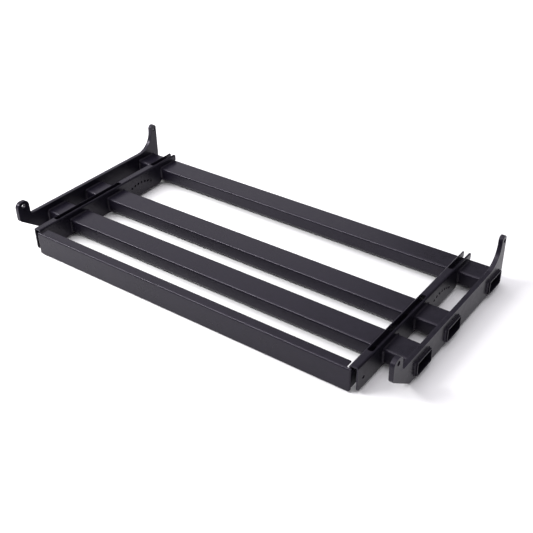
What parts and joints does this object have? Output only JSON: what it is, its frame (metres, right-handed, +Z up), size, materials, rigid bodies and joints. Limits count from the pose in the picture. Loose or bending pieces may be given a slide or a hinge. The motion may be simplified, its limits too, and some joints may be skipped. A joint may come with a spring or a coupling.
{
  "type": "hitch cargo carrier",
  "caption": "Flat welded cargo carrier frame of rectangular tubes between slotted cross channels and eared end plates, with a bolted front rail.",
  "frame": {"origin": "on the plane that the end plates stand on, below the middle of the frame", "axes": "+X along the deck tubes to the right, +Y to the rear, away from the front rail, +Z up"},
  "size_m": [1.2, 0.58, 0.149],
  "materials": {
    "powder_coat": "satin black powder coat with a fine orange-peel texture",
    "weld_bead": "satin black powder coat over a rippled weld bead",
    "black_steel": "black zinc plated"
  },
  "bodies": {
    "root": {"deck_tube_front": "powder_coat", "deck_tube_middle": "powder_coat", "deck_tube_rear": "powder_coat", "front_rail": "powder_coat", "end_plate_left": "powder_coat", "cross_channel_left": "powder_coat", "rail_screw_left": "black_steel", "rail_washer_left": "black_steel", "rail_nut_left": "black_steel", "end_plate_right": "powder_coat", "cross_channel_right": "powder_coat", "rail_screw_right": "black_steel", "rail_washer_right": "black_steel", "rail_nut_right": "black_steel", "weld_front_channel_inboard_left": "weld_bead", "weld_front_channel_outboard_left": "weld_bead", "weld_front_plate_inboard_left": "weld_bead", "weld_front_plate_outboard_left": "weld_bead", "weld_front_channel_inboard_right": "weld_bead", "weld_front_channel_outboard_right": "weld_bead", "weld_front_plate_inboard_right": "weld_bead", "weld_front_plate_outboard_right": "weld_bead", "weld_middle_channel_inboard_left": "weld_bead", "weld_middle_channel_outboard_left": "weld_bead", "weld_middle_plate_inboard_left": "weld_bead", "weld_middle_plate_outboard_left": "weld_bead", "weld_middle_channel_inboard_right": "weld_bead", "weld_middle_channel_outboard_right": "weld_bead", "weld_middle_plate_inboard_right": "weld_bead", "weld_middle_plate_outboard_right": "weld_bead", "weld_rear_channel_inboard_left": "weld_bead", "weld_rear_channel_outboard_left": "weld_bead", "weld_rear_plate_inboard_left": "weld_bead", "weld_rear_plate_outboard_left": "weld_bead", "weld_rear_channel_inboard_right": "weld_bead", "weld_rear_channel_outboard_right": "weld_bead", "weld_rear_plate_inboard_right": "weld_bead", "weld_rear_plate_outboard_right": "weld_bead"}
  },
  "joints": []
}
